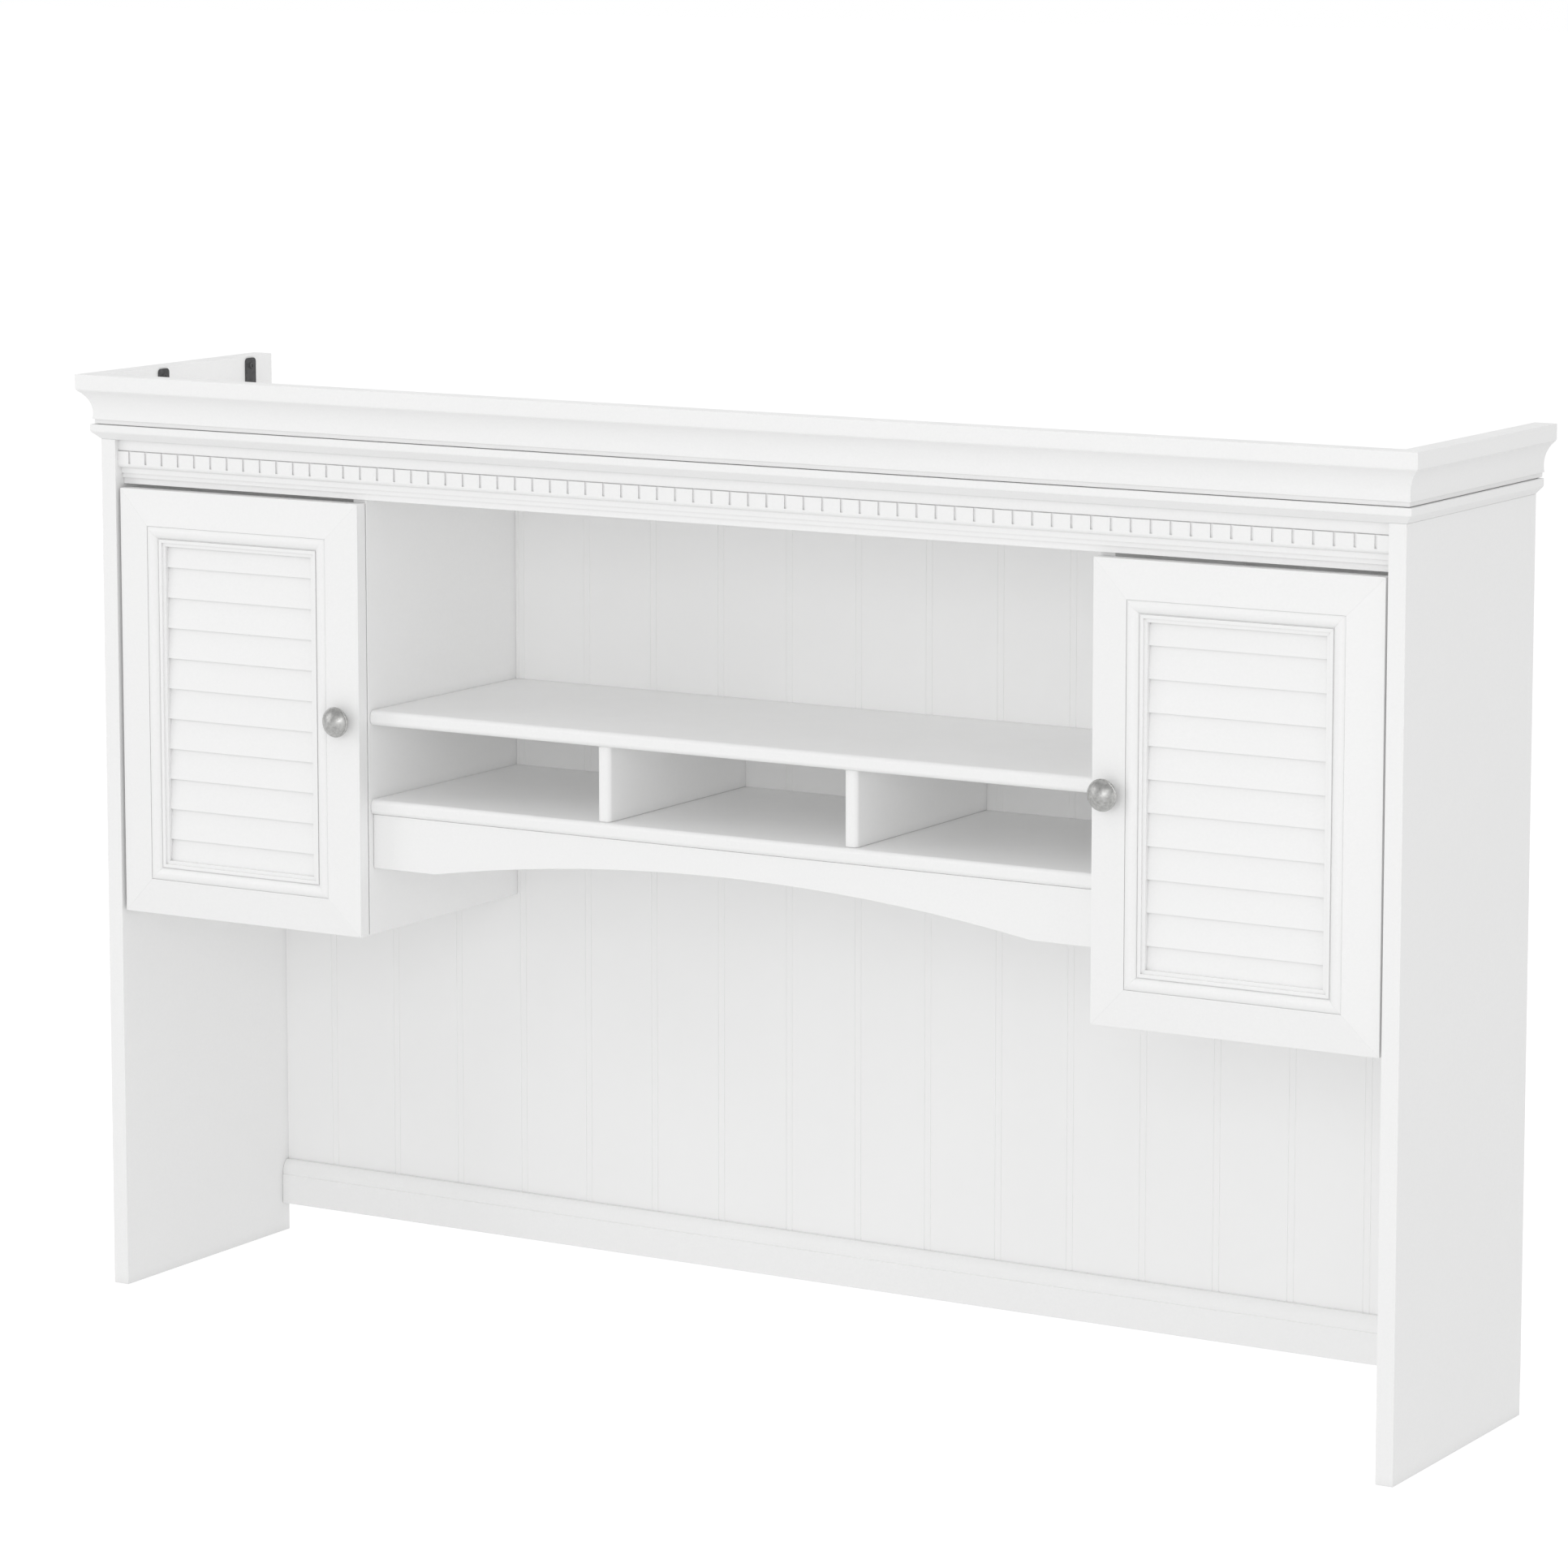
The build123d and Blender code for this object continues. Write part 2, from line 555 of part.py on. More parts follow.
def arc_middle(start, end, centre_y):
    """Middle of the arc between two (radius, reach) points about a centre on the axis."""
    radius = hypot(start[0], start[1] - centre_y)
    angle = (atan2(start[0], start[1] - centre_y) + atan2(end[0], end[1] - centre_y)) / 2
    return radius * sin(angle), centre_y + radius * cos(angle)


def knob_left():
    """Turned knob: a low dome inside a beaded rim, on a short stem and a small seat."""
    foot = KNOB_DOME_FOOT
    tip = (0, KNOB_REACH)
    centre_y = (KNOB_REACH ** 2 - foot[0] ** 2 - foot[1] ** 2) / (2 * (KNOB_REACH - foot[1]))
    dome = ThreePointArc(foot, arc_middle(foot, tip, centre_y), tip)
    quirk = (foot[0] + 0.1, foot[1] - 0.5)
    rim_back = (KNOB_R - 0.9, KNOB_RIM - 1.2)
    bead = ThreePointArc(quirk, (KNOB_R, KNOB_RIM), rim_back)
    stem_top = (KNOB_STEM_R, KNOB_SEAT_T + 3.4)
    flare = ThreePointArc(rim_back, (KNOB_STEM_R + 3.6, KNOB_RIM - 3.6), stem_top)
    base = outline([stem_top, (KNOB_STEM_R, KNOB_SEAT_T + 1.0), (KNOB_SEAT_R, KNOB_SEAT_T),
                    (KNOB_SEAT_R, 0), (0, 0), tip])
    profile = make_face(dome.edges() + outline([foot, quirk]) + bead.edges() + flare.edges() + base)
    solid = revolve(profile, axis=Axis.Y)
    knob = Pos(KNOB_X, KNOB_FACE, KNOB_Z) * Rot(180, 0, 0) * solid
    return knob - rod(SCREW_R + HARDWARE_PLAY, (KNOB_X, KNOB_FACE, KNOB_Z), (0, -1, 0), KNOB_BORE)


def knob_screw_left():
    """Machine screw, its head let into the back of the door, that holds the knob."""
    shank = rod(SCREW_R, (KNOB_X, DOOR_BACK, KNOB_Z), (0, -1, 0), DOOR_BACK - KNOB_FACE + KNOB_SCREW_IN)
    return shank + rod(SCREW_HEAD_R, (KNOB_X, DOOR_BACK, KNOB_Z), (0, -1, 0), SCREW_HEAD_T)


def door_bumpers_left():
    """Two soft pads that meet the partition's front edge."""
    x = -PARTITION_X - BOARD_T / 2
    heights = (DOOR_BOTTOM + BUMPER_INSET, DOOR_TOP - BUMPER_INSET)
    return [rod(BUMPER_R, (x, DOOR_BACK, z), (0, 1, 0), BUMPER_T) for z in heights]


# ---- concealed hinges --------------------------------------------------------------------------
def at_u(u):
    """X of a distance measured inwards from the left side panel's inner face."""
    return u - INNER


def bar_between(start, end, width, height, z):
    """A round-ended plate between two upright axes."""
    run = (end[0] - start[0], end[1] - start[1])
    middle = ((start[0] + end[0]) / 2, (start[1] + end[1]) / 2)
    slot = SlotCenterToCenter(hypot(*run), width)
    plate = extrude(Rot(0, 0, degrees(atan2(run[1], run[0]))) * slot, amount=height)
    return Pos(at_u(middle[0]), middle[1], z - height / 2) * plate


def hinge_arm(z):
    """Arm with two cheeks and its pin, on a mounting plate screwed to the side panel."""
    arm_u = PLATE_T + ARM_T / 2
    heel = (arm_u, ARM_HEEL_Y)
    tail = (arm_u, PLATE_Y[1] - ARM_TAIL)
    cheek_z = LINK_H / 2 + LINK_SIDE_GAP + CHEEK_T / 2
    total = LINK_H + 2 * (LINK_SIDE_GAP + CHEEK_T)
    arm = bar_between(ARM_KNEE, heel, ARM_T, total, z) + bar_between(heel, tail, ARM_T, total, z)
    for side in (-1, 1):
        arm += bar_between(ARM_PIN, ARM_KNEE, ARM_T, CHEEK_T, z + side * cheek_z)
    arm += rod(PIN_R, (at_u(ARM_PIN[0]), ARM_PIN[1], z - total / 2), (0, 0, 1), total)
    plate = block(at_u(0), at_u(PLATE_T), *PLATE_Y, z - total / 2, z + total / 2)
    wings = block(at_u(0), at_u(PLATE_WING_T), *PLATE_WING_Y, z - PLATE_H / 2, z + PLATE_H / 2)
    return arm + plate + wings


def hinge_link(z):
    """Link that joins the arm's pin to the cup's pin."""
    link = bar_between(ARM_PIN, CUP_PIN, LINK_T, LINK_H, z)
    for (u, y), eye in ((ARM_PIN, ARM_EYE_R), (CUP_PIN, CUP_EYE_R)):
        link += rod(eye, (at_u(u), y, z - LINK_H / 2), (0, 0, 1), LINK_H)
    for u, y in (ARM_PIN, CUP_PIN):
        link -= rod(PIN_R + PIN_CLEARANCE, (at_u(u), y, z - LINK_H), (0, 0, 1), 2 * LINK_H)
    return link


def hinge_cup(centre):
    """Cup let into the door's back, with its flange, two ears and pin."""
    x, y, z = centre
    cup = rod(CUP_R - HARDWARE_PLAY, centre, (0, -1, 0), CUP_DEPTH - HARDWARE_PLAY)
    flange = block(at_u(DOOR_GAP + 0.4), x + 10, y, y + WING_T, z - WING_HEIGHT, z + WING_HEIGHT)
    cup += fillet(flange.edges().filter_by(Axis.Y), 1.5)
    cup -= rod(CUP_R - CUP_WALL, (x, y + WING_T, z), (0, -1, 0), CUP_DEPTH + WING_T - CUP_WALL)
    slot_half = LINK_H / 2 + LINK_SIDE_GAP
    cup -= block(at_u(0), x, y, y + 5, z - slot_half, z + slot_half)
    ear_foot = (CUP_PIN[0] + 3.0, y + EAR_W / 2)
    for side in (-1, 1):
        ear_z = z + side * (slot_half + CHEEK_T / 2)
        cup += bar_between(CUP_PIN, ear_foot, EAR_W, CHEEK_T, ear_z)
    pin_length = 2 * (slot_half + CHEEK_T)
    return cup + rod(PIN_R, (at_u(CUP_PIN[0]), CUP_PIN[1], z - pin_length / 2), (0, 0, 1), pin_length)


# ---- the assembly ------------------------------------------------------------------------------
def mirrored(name, piece):
    """A left-hand piece and its right-hand mirror image, as two nodes."""
    return {"left_" + name: piece, "right_" + name: other_side(piece)}


def assembly():
    """Every node of the hutch by name, with the set back measured along Y."""
    x_cabinet = (-INNER, -PARTITION_X - BOARD_T)
    cabinet_cams = cam_locks(*x_cabinet, CABINET_BOTTOM_Z + BOARD_T)
    cams = cabinet_cams + [other_side(cam) for cam in cabinet_cams]
    for top in (UPPER_SHELF_TOP, LOWER_SHELF_TOP):
        cams += cam_locks(-PARTITION_X, PARTITION_X, top)
    nodes = {
        "crown_front": crown_front(),
        "crown_right_return": crown_return_right(),
        "crown_left_return": other_side(crown_return_right()),
        "top_board": top_board(),
        "frieze_rail": frieze_rail(),
        "upper_shelf": fixed_shelf(UPPER_SHELF_TOP),
        "lower_shelf": fixed_shelf(LOWER_SHELF_TOP),
        "arched_apron": arched_apron(),
        "back_panel": back_panel(),
        "base_rail": base_rail(),
        "crown_brackets": group([bracket(*place) for place in bracket_places()]),
        "bracket_screws": group([s for place in bracket_places() for s in screw_heads(*place)]),
        "cam_locks": group(cams),
        "shelf_pins": both_sides(shelf_pins_left()),
    }
    nodes |= mirrored("side_panel", side_panel_left())
    nodes |= mirrored("partition", partition_left())
    nodes |= mirrored("cabinet_bottom", cabinet_bottom_left())
    nodes |= mirrored("adjustable_shelf", adjustable_shelf_left())
    nodes |= mirrored("divider", divider_left())
    nodes |= mirrored("door_hinge_stile", hinge_stile_left())
    nodes |= mirrored("door_latch_stile", latch_stile_left())
    nodes |= mirrored("door_top_rail", top_rail_left())
    nodes |= mirrored("door_bottom_rail", bottom_rail_left())
    nodes |= mirrored("door_louvre_panel", louvre_panel_left())
    nodes |= mirrored("knob", knob_left())
    nodes |= mirrored("knob_screw", knob_screw_left())
    nodes |= mirrored("door_bumpers", group(door_bumpers_left()))
    nodes |= mirrored("hinge_cups", group([hinge_cup(centre) for centre in cup_places()]))
    nodes |= mirrored("hinge_links", group([hinge_link(z) for z in HINGE_Z]))
    nodes |= mirrored("hinge_arms", group([hinge_arm(z) for z in HINGE_Z]))
    return nodes


def write_node(name, piece):
    """Write one node's solids, moved from the side panels' front edges to the hutch's frame."""
    solids = [(Pos(0, FRONT_Y, 0) * solid).solid() for solid in piece.solids()]
    export_step(solids[0] if len(solids) == 1 else Compound(children=solids), f"parts/{name}.step")


os.makedirs("parts", exist_ok=True)
for name, piece in assembly().items():
    write_node(name, piece)
print("side panels' front edges at Y =", round(FRONT_Y, 3))
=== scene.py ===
"""White desk hutch: materials, fittings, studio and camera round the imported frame."""
import math

import bmesh
import bpy
from mathutils import Matrix, Vector


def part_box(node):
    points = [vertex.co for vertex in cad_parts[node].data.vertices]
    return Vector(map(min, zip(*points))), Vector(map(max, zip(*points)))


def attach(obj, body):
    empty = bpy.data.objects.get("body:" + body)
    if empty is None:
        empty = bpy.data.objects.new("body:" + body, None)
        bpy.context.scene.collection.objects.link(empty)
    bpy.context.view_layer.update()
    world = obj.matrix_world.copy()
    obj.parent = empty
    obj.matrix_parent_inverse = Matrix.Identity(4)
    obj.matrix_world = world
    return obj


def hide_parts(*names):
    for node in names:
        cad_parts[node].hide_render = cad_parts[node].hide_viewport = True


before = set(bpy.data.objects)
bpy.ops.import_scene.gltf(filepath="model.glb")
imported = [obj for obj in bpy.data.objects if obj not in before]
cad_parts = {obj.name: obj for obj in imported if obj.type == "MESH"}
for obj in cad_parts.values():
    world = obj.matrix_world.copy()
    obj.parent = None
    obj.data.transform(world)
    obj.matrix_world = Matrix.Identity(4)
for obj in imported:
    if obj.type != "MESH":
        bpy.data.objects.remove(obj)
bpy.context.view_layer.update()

# ---- fittings, in metres ------------------------------------------------------------------------
SUNK = 0.0001                # how far a fitting's foot goes into what it stands on
CUP_R = 0.0174               # hinge cup
FLANGE_FACE = 0.0177         # set back of the cup flange's face from the side panel's front edge
FLANGE_SCREWS = 0.0207       # the flange's screws above and below the cup's middle
PLATE_SCREWS = 0.0124        # the mounting plate's screws above and below its middle
PLATE_SCREW_Y = 0.070        # set back of those screws
ARM_SCREW_Y = (0.070, 0.086)     # set back of the arm's two adjusting screws
PLATE_FACE = 0.002           # thickness of the plate's wings
ARM_FACE = 0.0124            # face of the arm, from the side panel
FLANGE_SCREW_R = 0.0028         # screws of the cup's flange
PLATE_SCREW_R = 0.0030       # screws of the mounting plate and the arm
KNOB_SCREW_R = 0.0040
CAM_FACE_SHARE = 0.94        # slotted face of a cam lock, of the lock's radius
HEAD_TURN = 2.4              # each head is turned this much from the one before, in radians
NAIL_R = 0.0024
NAIL_SPACING = 0.13
NAIL_INSET = 0.0085          # side columns of nails to the back panel's edges
NAIL_MARGIN = 0.04           # a board's first nail to its end
BOARD_ARRIS = 0.0006         # rounding of a board's edges
MITRE_ARRIS = 0.00012        # and of the mitred mouldings

# ---- camera and studio, in metres ---------------------------------------------------------------
CAMERA_AT = (2.7744, -4.6044, 1.4332)
CAMERA_YAW = 0.5419          # turn to the left of +Y, in radians
CAMERA_PITCH = -0.1343
CAMERA_LENS = 130.24
CAMERA_SHIFT = -0.1

WORLD_SEEN = 1.0             # the white surround as the camera sees it
WORLD_LIGHT = 0.78           # the light it gives
WORLD_GLOSS = 0.45           # how bright it looks in a reflection
FLOOR_SEEN = 0.90            # the floor's own light as the camera sees it
FLOOR_GLOW = 0.60            # and as it falls on the hutch
FLOOR_HALF = 40.0            # half the floor's side
FLOOR_DROP = 0.0005          # the floor lies this far under the side panels
LAMP_AIM = (0, 0, 0.5)       # every lamp faces this point
DIFFUSE_BOUNCES = 8          # enough to light the insides of the shelves

# ---- finishes -----------------------------------------------------------------------------------
BOARD_WHITE = (0.885, 0.885, 0.883)
BACK_WHITE = (0.89, 0.89, 0.888)
PEWTER_LIGHT = (0.60, 0.60, 0.59)
PEWTER_DARK = (0.43, 0.43, 0.42)
STEEL = (0.60, 0.60, 0.59)
ZINC = (0.55, 0.56, 0.57)
BLACK = (0.060, 0.060, 0.062)
PAD = (0.70, 0.72, 0.72)
# the reaches below are for shade painted into the colour by an occlusion node
FINE_REACH = 0.004           # how far the shade of joints and grooves reaches, in metres
SOFT_REACH = 0.018           # and the softer shade round steps and mouldings
METAL_REACH = 0.002          # and the shade in the corners of plated parts
PEWTER_REACH = 0.0015        # and in the knobs' rim groove


# ---- material helpers --------------------------------------------------------------------------
class Nodes:
    """A new material's nodes, with short calls for the few kinds that are used here."""

    def __init__(self, name):
        self.material = bpy.data.materials.new(name)
        self.material.use_nodes = True
        self.tree = self.material.node_tree
        self.shader = self.tree.nodes["Principled BSDF"]
        self.coords = self.tree.nodes.new("ShaderNodeTexCoord").outputs["Object"]

    def link(self, output, socket):
        self.tree.links.new(output, socket)

    def stretched(self, scale):
        """The object's coordinates, scaled along each axis."""
        node = self.tree.nodes.new("ShaderNodeMapping")
        node.inputs["Scale"].default_value = scale
        self.link(self.coords, node.inputs["Vector"])
        return node.outputs["Vector"]

    def noise(self, scale, detail=3.0, rough=0.5, coords=None):
        node = self.tree.nodes.new("ShaderNodeTexNoise")
        node.inputs["Scale"].default_value = scale
        node.inputs["Detail"].default_value = detail
        node.inputs["Roughness"].default_value = rough
        self.link(coords or self.coords, node.inputs["Vector"])
        return node.outputs["Fac"]

    def ramp(self, value, low, high, start=0.3, end=0.7):
        """A number or colour that runs from low to high as value goes from start to end."""
        node = self.tree.nodes.new("ShaderNodeValToRGB")
        stops = node.color_ramp.elements
        for stop, place, tone in ((stops[0], start, low), (stops[1], end, high)):
            stop.position = place
            stop.color = (*tone, 1) if isinstance(tone, tuple) else (tone, tone, tone, 1)
        self.link(value, node.inputs["Fac"])
        return node.outputs["Color"]

    def mixed(self, factor, low, high, blend="MIX"):
        node = self.tree.nodes.new("ShaderNodeMix")
        node.data_type = "RGBA"
        node.blend_type = blend
        for socket, value in ((node.inputs[0], factor), (node.inputs[6], low), (node.inputs[7], high)):
            if isinstance(value, bpy.types.NodeSocket):
                self.link(value, socket)
            else:
                socket.default_value = value if isinstance(value, float) else (*value, 1)
        return node.outputs[2]

    def bump(self, height, strength, distance, under=None):
        node = self.tree.nodes.new("ShaderNodeBump")
        node.inputs["Strength"].default_value = strength
        node.inputs["Distance"].default_value = distance
        self.link(height, node.inputs["Height"])
        if under:
            self.link(under, node.inputs["Normal"])
        return node.outputs["Normal"]

    def painted_crevice_shade(self, colour, reach, deepest, opened):
        """Painted shade: the colour, darker where faces close in within reach; deepest is the shade
        fully inside.

        A spot at least as free as opened (0 closed, 1 free) keeps its full colour.
        """
        # painted shade: occlusion darkens the colour where faces close in
        node = self.tree.nodes.new("ShaderNodeAmbientOcclusion")
        node.samples = 6
        node.inputs["Distance"].default_value = reach
        shade = self.ramp(node.outputs["AO"], deepest, 1.0, 0.0, opened)
        return self.mixed(1.0, colour, shade, "MULTIPLY")

    def finish(self, colour=None, rough=None, normal=None, **constants):
        for name, value in constants.items():
            self.shader.inputs[name.replace("_", " ")].default_value = value
        for output, name in ((colour, "Base Color"), (rough, "Roughness"), (normal, "Normal")):
            if output:
                self.link(output, self.shader.inputs[name])
        return self.material


def darker(colour, share):
    return tuple(c * share for c in colour)


# ---- materials -----------------------------------------------------------------------------------
def painted_board(name, tone, grain):
    """Satin white paint over fibreboard, finely mottled, with a faint grain along one axis and painted
    shade in its joints, grooves and round its steps.
    """
    n = Nodes(name)
    along = tuple(6.0 if axis == grain else 260.0 for axis in "xyz")
    strokes = n.noise(1.0, 3.0, 0.6, n.stretched(along))
    peel = n.noise(420.0, 3.0, 0.6)
    colour = n.ramp(n.noise(9.0, 4.0), darker(tone, 0.99), tone)
    colour = n.mixed(n.ramp(peel, 0.0, 1.0), darker(tone, 0.975), colour)
    # painted shade: darker in joints and grooves, and softly darker round steps and mouldings
    colour = n.painted_crevice_shade(colour, FINE_REACH, 0.62, 0.54)
    colour = n.painted_crevice_shade(colour, SOFT_REACH, 0.80, 0.75)
    rough = n.ramp(n.noise(35.0, 4.0), 0.36, 0.48)
    normal = n.bump(strokes, 0.05, 0.00006)
    normal = n.bump(peel, 0.10, 0.00008, normal)
    return n.finish(colour, rough, normal, IOR=1.46)


def pewter():
    """Cast metal, tumbled: light where it is rubbed and dark in its cloudy patches, with painted shade
    in the rim groove.
    """
    n = Nodes("pewter_finish")
    cloud = n.noise(330.0, 5.0, 0.62)
    fine = n.noise(900.0, 3.0)
    colour = n.ramp(cloud, PEWTER_DARK, PEWTER_LIGHT, 0.3, 0.6)
    # painted shade in the rim groove
    colour = n.painted_crevice_shade(colour, PEWTER_REACH, 0.35, 0.6)
    rough = n.ramp(n.noise(260.0, 4.0), 0.34, 0.46)
    normal = n.bump(cloud, 0.05, 0.0002)
    normal = n.bump(fine, 0.12, 0.0001, normal)
    return n.finish(colour, rough, normal, Metallic=1.0)


def plated(name, tone, rough_low, rough_high):
    """Plated steel with fine drawing marks and painted shade in its corners."""
    n = Nodes(name)
    marks = n.noise(1.0, 4.0, 0.6, n.stretched((500.0, 500.0, 4000.0)))
    cloud = n.noise(120.0, 3.0)
    # painted shade in the corners of the plated parts
    colour = n.painted_crevice_shade(n.ramp(cloud, darker(tone, 0.92), tone), METAL_REACH, 0.4, 0.5)
    rough = n.ramp(marks, rough_low, rough_high)
    normal = n.bump(marks, 0.06, 0.00003)
    return n.finish(colour, rough, normal, Metallic=1.0)


def powder_coat():
    n = Nodes("black_finish")
    grit = n.noise(1500.0, 3.0)
    colour = n.ramp(n.noise(220.0, 4.0), darker(BLACK, 0.8), darker(BLACK, 1.35))
    rough = n.ramp(grit, 0.42, 0.62)
    return n.finish(colour, rough, n.bump(grit, 0.35, 0.00012))


def soft_pad():
    n = Nodes("pad_finish")
    cloud = n.noise(400.0, 3.0)
    colour = n.ramp(cloud, darker(PAD, 0.92), PAD)
    rough = n.ramp(cloud, 0.28, 0.42)
    return n.finish(colour, rough, n.bump(cloud, 0.1, 0.0001), Transmission_Weight=0.25)


def back_board():
    """White-faced hardboard, smooth in front, with painted shade in its grooves and joints."""
    n = Nodes("back_finish")
    cloud = n.noise(7.0, 4.0)
    peel = n.noise(700.0, 2.0)
    colour = n.ramp(cloud, darker(BACK_WHITE, 0.985), BACK_WHITE)
    # painted shade where the back panel meets the boards and in its grooves
    colour = n.painted_crevice_shade(colour, FINE_REACH / 2, 0.9, 0.55)
    rough = n.ramp(n.noise(40.0, 4.0), 0.42, 0.55)
    return n.finish(colour, rough, n.bump(peel, 0.12, 0.0001))


UPRIGHT = ("side_panel", "partition", "divider", "stile")
DEEP = ("return",)


def grain_of(node):
    if any(word in node for word in UPRIGHT):
        return "z"
    return "y" if any(word in node for word in DEEP) else "x"


boards = {axis: painted_board("white_board_" + axis, BOARD_WHITE, axis) for axis in "xyz"}
finishes = {
    "back_board": back_board(),
    "pewter": pewter(),
    "hinge_steel": plated("hinge_steel_finish", STEEL, 0.22, 0.36),
    "zinc": plated("zinc_finish", ZINC, 0.30, 0.46),
    "black_metal": powder_coat(),
    "pad": soft_pad(),
}
for name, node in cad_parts.items():
    slot = node.material_slots[0].material.name
    node.data.materials[0] = boards[grain_of(name)] if slot == "white_board" else finishes[slot]


def soften_edges(node, width):
    """Rounds a board's arrises a little; its faces stay flat and its mouldings smooth."""
    mesh = node.data
    mesh.polygons.foreach_set("use_smooth", [True] * len(mesh.polygons))
    weld = node.modifiers.new("weld", "WELD")
    weld.merge_threshold = 1e-5
    flatten = node.modifiers.new("flatten", "DECIMATE")
    flatten.decimate_type = "DISSOLVE"
    flatten.angle_limit = math.radians(0.5)
    bevel = node.modifiers.new("arris", "BEVEL")
    bevel.width = width
    bevel.segments = 2
    bevel.limit_method = "ANGLE"
    bevel.angle_limit = math.radians(40)
    bevel.harden_normals = True
    node.modifiers.new("shade", "WEIGHTED_NORMAL")


SOFT_EDGED = ("side_panel", "partition", "shelf", "divider", "cabinet_bottom", "top_board", "base_rail",
              "apron")
MITRED = ("door_top_rail", "door_bottom_rail", "stile", "crown_front", "return")
for name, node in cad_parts.items():
    if any(word in name for word in SOFT_EDGED):
        soften_edges(node, BOARD_ARRIS)
    elif any(word in name for word in MITRED):
        soften_edges(node, MITRE_ARRIS)


# ---- screw, cam and nail heads ------------------------------------------------------------------
def lathed(name, profile, segments=40):
    """A mesh turned about Z from (radius, height) points that start and end on the axis."""
    mesh = bmesh.new()
    points = [mesh.verts.new((radius, 0, height)) for radius, height in profile]
    edges = [mesh.edges.new(pair) for pair in zip(points, points[1:])]
    bmesh.ops.spin(mesh, geom=points + edges, cent=(0, 0, 0), axis=(0, 0, 1), angle=2 * math.pi,
                   steps=segments)
    bmesh.ops.remove_doubles(mesh, verts=mesh.verts, dist=1e-5)
    bmesh.ops.recalc_face_normals(mesh, faces=mesh.faces)
    data = bpy.data.meshes.new(name)
    mesh.to_mesh(data)
    mesh.free()
    return data


def head_template(name, profile, bars=()):
    """A head of radius 1 along +Z; each bar (length, width, floor) is a slot cut into its face."""
    head = bpy.data.objects.new(name, lathed(name, profile))
    bpy.context.scene.collection.objects.link(head)
    cutters = []
    for length, width, floor in bars:
        mesh = bmesh.new()
        size = Matrix.Diagonal((length, width, 2, 1))
        bmesh.ops.create_cube(mesh, size=1, matrix=Matrix.Translation((0, 0, floor + 1)) @ size)
        data = bpy.data.meshes.new("cutter")
        mesh.to_mesh(data)
        mesh.free()
        cutter = bpy.data.objects.new("cutter", data)
        bpy.context.scene.collection.objects.link(cutter)
        cut = head.modifiers.new("slot", "BOOLEAN")
        cut.object = cutter
        cutters.append(cutter)
    rounding = head.modifiers.new("rounding", "BEVEL")
    rounding.width = 0.03
    rounding.segments = 2
    bpy.context.view_layer.update()
    evaluated = head.evaluated_get(bpy.context.evaluated_depsgraph_get())
    shape = bpy.data.meshes.new_from_object(evaluated)
    for item in [head, *cutters]:
        bpy.data.objects.remove(item)
    return shape


def fitted(name, template, radius, places, body, slot):
    """One piece of many heads; each place is (point, outward direction)."""
    mesh = bmesh.new()
    for index, (point, outward) in enumerate(places):
        facing = Vector(outward).to_track_quat("Z", "Y").to_matrix().to_4x4()
        spin = Matrix.Rotation(index * HEAD_TURN, 4, "Z")
        place = Matrix.Translation(Vector(point) - SUNK * Vector(outward)) @ facing @ spin
        before = len(mesh.verts)
        mesh.from_mesh(template)
        mesh.verts.ensure_lookup_table()
        bmesh.ops.transform(mesh, matrix=place @ Matrix.Scale(radius, 4), verts=mesh.verts[before:])
    for face in mesh.faces:
        face.smooth = True
    data = bpy.data.meshes.new(name)
    mesh.to_mesh(data)
    mesh.free()
    data.materials.append(finishes[slot])
    data.set_sharp_from_angle(angle=math.radians(35))
    piece = bpy.data.objects.new(name, data)
    bpy.context.scene.collection.objects.link(piece)
    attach(piece, body)
    return piece


def island_boxes(name):
    """(lowest corner, highest corner) of each separate solid of a CAD node."""
    mesh = bmesh.new()
    mesh.from_mesh(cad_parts[name].data)
    bmesh.ops.remove_doubles(mesh, verts=mesh.verts, dist=1e-6)
    left = set(mesh.verts)
    boxes = []
    while left:
        found = {left.pop()}
        edge = set(found)
        while edge:
            edge = {e.other_vert(v) for v in edge for e in v.link_edges} - found
            found |= edge
        left -= found
        corners = list(zip(*(v.co for v in found)))
        boxes.append((Vector(map(min, corners)), Vector(map(max, corners))))
    mesh.free()
    return sorted(boxes, key=lambda box: tuple(round(value, 5) for value in box[0]))


def thin_axis(box):
    size = box[1] - box[0]
    return min(range(3), key=lambda axis: size[axis])


PAN = [(0, -0.1), (0.97, -0.1), (1.0, 0.12), (0.94, 0.34), (0.78, 0.52), (0.45, 0.63), (0, 0.66)]
FLAT = [(0, -0.1), (0.98, -0.1), (1.0, 0.0), (0.94, 0.07), (0.6, 0.10), (0, 0.10)]
BUTTON = [(0, -0.1), (1.0, -0.1), (0.93, 0.14), (0.62, 0.27), (0, 0.32)]
pan_head = head_template("pan_head", PAN, ((1.15, 0.24, 0.22), (0.24, 1.15, 0.22)))
flat_head = head_template("flat_head", FLAT, ((1.2, 0.26, -0.05), (0.26, 1.2, -0.05)))
cam_face = head_template("cam_face", FLAT, ((1.5, 0.22, -0.05), (0.62, 0.62, -0.05)))
nail_head = head_template("nail_head", BUTTON)


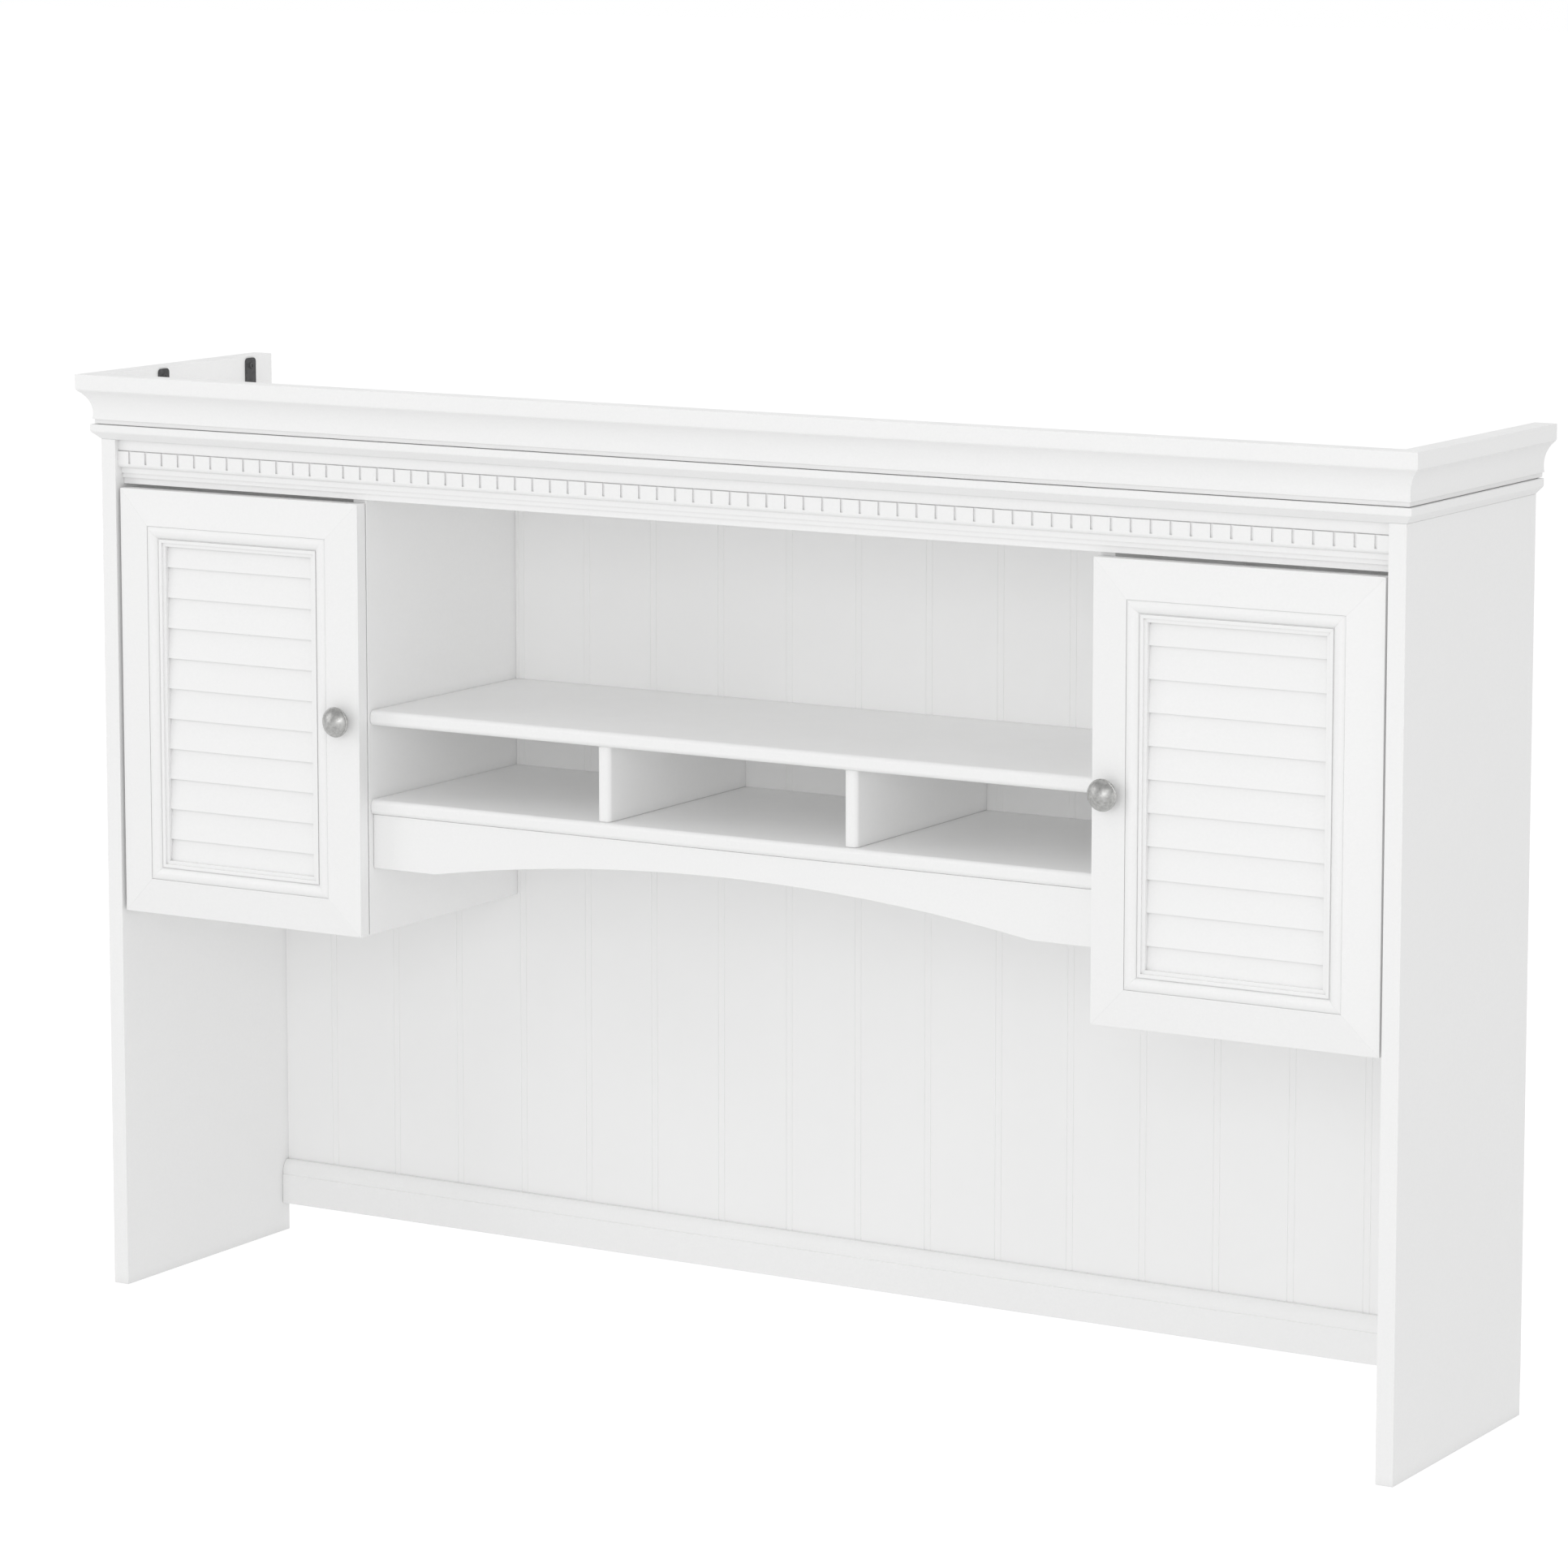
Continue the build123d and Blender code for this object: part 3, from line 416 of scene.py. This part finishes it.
def bracket_screws():
    """Cross-recessed heads in the place of the plain ones of the crown brackets."""
    places = []
    for low, high in island_boxes("bracket_screws"):
        middle = (low + high) / 2
        axis = thin_axis((low, high))
        sign = -math.copysign(1, middle[0]) if axis == 0 else 1
        outward = Vector([sign if i == axis else 0 for i in range(3)])
        foot = middle.copy()
        foot[axis] = low[axis] if sign > 0 else high[axis]
        places.append((foot, outward))
        radius = max(high - low) / 2
    piece = fitted("bracket_screw_heads", pan_head, radius, places, "carcass", "black_metal")
    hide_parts("bracket_screws")


def cam_faces():
    """Slotted faces on the cam locks under the boards."""
    places = []
    for low, high in island_boxes("cam_locks"):
        middle = (low + high) / 2
        places.append(((middle.x, middle.y, low.z), (0, 0, -1)))
        radius = CAM_FACE_SHARE * (high.x - low.x) / 2
    fitted("cam_lock_faces", cam_face, radius, places, "carcass", "zinc")


def side_fittings(side, inwards):
    """Screws of one door's hinges and knob; inwards is the X direction away from the side panel."""
    panel_low, panel_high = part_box(side + "_side_panel")
    front = panel_low[1]
    face = panel_high[0] if inwards > 0 else panel_low[0]
    flange, plate, arm = [], [], []
    for low, high in island_boxes(side + "_hinge_cups"):
        x = (high.x if inwards > 0 else low.x) - inwards * CUP_R
        height = (low.z + high.z) / 2
        for up in (-FLANGE_SCREWS, FLANGE_SCREWS):
            flange.append(((x, front + FLANGE_FACE, height + up), (0, 1, 0)))
        for up in (-PLATE_SCREWS, PLATE_SCREWS):
            point = (face + inwards * PLATE_FACE, front + PLATE_SCREW_Y, height + up)
            plate.append((point, (inwards, 0, 0)))
        for y in ARM_SCREW_Y:
            arm.append(((face + inwards * ARM_FACE, front + y, height), (inwards, 0, 0)))
    door = side + "_door"
    fitted(side + "_flange_screws", pan_head, FLANGE_SCREW_R, flange, door, "hinge_steel")
    fitted(side + "_plate_screws", pan_head, PLATE_SCREW_R, plate, "carcass", "hinge_steel")
    fitted(side + "_arm_screws", flat_head, PLATE_SCREW_R, arm, "carcass", "hinge_steel")
    low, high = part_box(side + "_knob_screw")
    point = ((low[0] + high[0]) / 2, high[1], (low[2] + high[2]) / 2)
    fitted(side + "_knob_screw_head", flat_head, KNOB_SCREW_R, [(point, (0, 1, 0))], door, "zinc")


def evenly(start, end):
    """Places from start to end, about one nail spacing apart."""
    steps = round((end - start) / NAIL_SPACING)
    return [start + (end - start) * i / steps for i in range(steps + 1)]


def back_nails():
    """Small nails through the back panel into the boards that meet it."""
    low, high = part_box("back_panel")
    points = []
    for board in ("base_rail", "top_board", "upper_shelf", "lower_shelf", "left_cabinet_bottom",
                  "right_cabinet_bottom"):
        board_low, board_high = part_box(board)
        left = max(board_low[0], low[0]) + NAIL_MARGIN
        right = min(board_high[0], high[0]) - NAIL_MARGIN
        points += [(x, (board_low[2] + board_high[2]) / 2) for x in evenly(left, right)]
    foot, head = low[2] + NAIL_MARGIN, high[2] - NAIL_MARGIN
    columns = (low[0] + NAIL_INSET, high[0] - NAIL_INSET)
    points += [(x, z) for x in columns for z in evenly(foot, head)]
    places = [((x, high[1], z), (0, 1, 0)) for x, z in points]
    fitted("back_nails", nail_head, NAIL_R, places, "carcass", "zinc")


bracket_screws()
cam_faces()
side_fittings("left", 1)
side_fittings("right", -1)
back_nails()


# ---- studio ---------------------------------------------------------------------------------------
def white_world():
    """A white surround that lights evenly, looks pure white and reflects a little darker."""
    world = bpy.data.worlds.new("studio_white")
    bpy.context.scene.world = world
    world.use_nodes = True
    tree = world.node_tree
    output = tree.nodes["World Output"]
    paths = tree.nodes.new("ShaderNodeLightPath")

    def background(strength):
        node = tree.nodes.new("ShaderNodeBackground")
        node.inputs["Color"].default_value = (1, 1, 1, 1)
        node.inputs["Strength"].default_value = strength
        return node.outputs[0]

    def chosen(when, other, shader):
        node = tree.nodes.new("ShaderNodeMixShader")
        tree.links.new(when, node.inputs[0])
        tree.links.new(other, node.inputs[1])
        tree.links.new(shader, node.inputs[2])
        return node.outputs[0]

    light = chosen(paths.outputs["Is Glossy Ray"], background(WORLD_LIGHT), background(WORLD_GLOSS))
    light = chosen(paths.outputs["Is Camera Ray"], light, background(WORLD_SEEN))
    tree.links.new(light, output.inputs["Surface"])


def pale_floor():
    """A large pale sheet that glows a little, so that it runs into the white surround."""
    mesh = bpy.data.meshes.new("studio_floor")
    half = FLOOR_HALF
    mesh.from_pydata([(-half, -half, 0), (half, -half, 0), (half, half, 0), (-half, half, 0)], [],
                     [(0, 1, 2, 3)])
    floor = bpy.data.objects.new("studio_floor", mesh)
    bpy.context.scene.collection.objects.link(floor)
    n = Nodes("floor_white")
    colour = n.ramp(n.noise(2.0, 3.0), 0.17, 0.19)
    seen = n.tree.nodes.new("ShaderNodeBsdfPrincipled")
    for shader, glow in ((n.shader, FLOOR_GLOW), (seen, FLOOR_SEEN)):
        n.link(colour, shader.inputs["Base Color"])
        shader.inputs["Roughness"].default_value = 0.9
        shader.inputs["Specular IOR Level"].default_value = 0.0
        shader.inputs["Emission Color"].default_value = (1, 1, 1, 1)
        shader.inputs["Emission Strength"].default_value = glow
    paths = n.tree.nodes.new("ShaderNodeLightPath")
    choice = n.tree.nodes.new("ShaderNodeMixShader")
    n.link(paths.outputs["Is Camera Ray"], choice.inputs[0])
    n.link(n.shader.outputs[0], choice.inputs[1])
    n.link(seen.outputs[0], choice.inputs[2])
    n.link(choice.outputs[0], n.tree.nodes["Material Output"].inputs["Surface"])
    mesh.materials.append(n.material)
    floor.location.z = -FLOOR_DROP


def softbox(name, place, size, power, shadow=True):
    """A rectangular lamp that faces LAMP_AIM; without shadows it also fills the insides."""
    data = bpy.data.lights.new(name, "AREA")
    data.use_shadow = shadow
    data.shape = "RECTANGLE"
    data.size, data.size_y = size
    data.energy = power
    lamp = bpy.data.objects.new(name, data)
    lamp.location = place
    lamp.rotation_euler = (Vector(LAMP_AIM) - Vector(place)).to_track_quat("-Z", "Y").to_euler()
    bpy.context.scene.collection.objects.link(lamp)


def place_camera():
    data = bpy.data.cameras.new("camera")
    data.lens = CAMERA_LENS
    data.sensor_width = 36.0
    data.shift_y = CAMERA_SHIFT
    camera = bpy.data.objects.new("camera", data)
    camera.location = CAMERA_AT
    camera.rotation_euler = (math.pi / 2 + CAMERA_PITCH, 0, CAMERA_YAW)
    bpy.context.scene.collection.objects.link(camera)
    bpy.context.scene.camera = camera


white_world()
pale_floor()
softbox("key_right", (1.3, -3.6, 1.5), (1.6, 1.4), 17.5)
softbox("key_left", (-3.2, -2.0, 1.5), (1.4, 1.8), 14.5)
softbox("fill_front", (0.0, -4.5, 0.8), (1.5, 1.5), 12.4, shadow=False)
softbox("fill_right", (4.5, -1.2, 0.8), (1.5, 1.5), 18.0, shadow=False)
softbox("fill_above", (0.0, -0.3, 5.0), (2.5, 2.5), 13.5, shadow=False)
softbox("key_above", (0.0, 0.2, 3.2), (2.4, 1.6), 14.0)
place_camera()
bpy.context.scene.cycles.diffuse_bounces = DIFFUSE_BOUNCES
view = bpy.context.scene.view_settings
view.view_transform = "Standard"
view.look = "None"
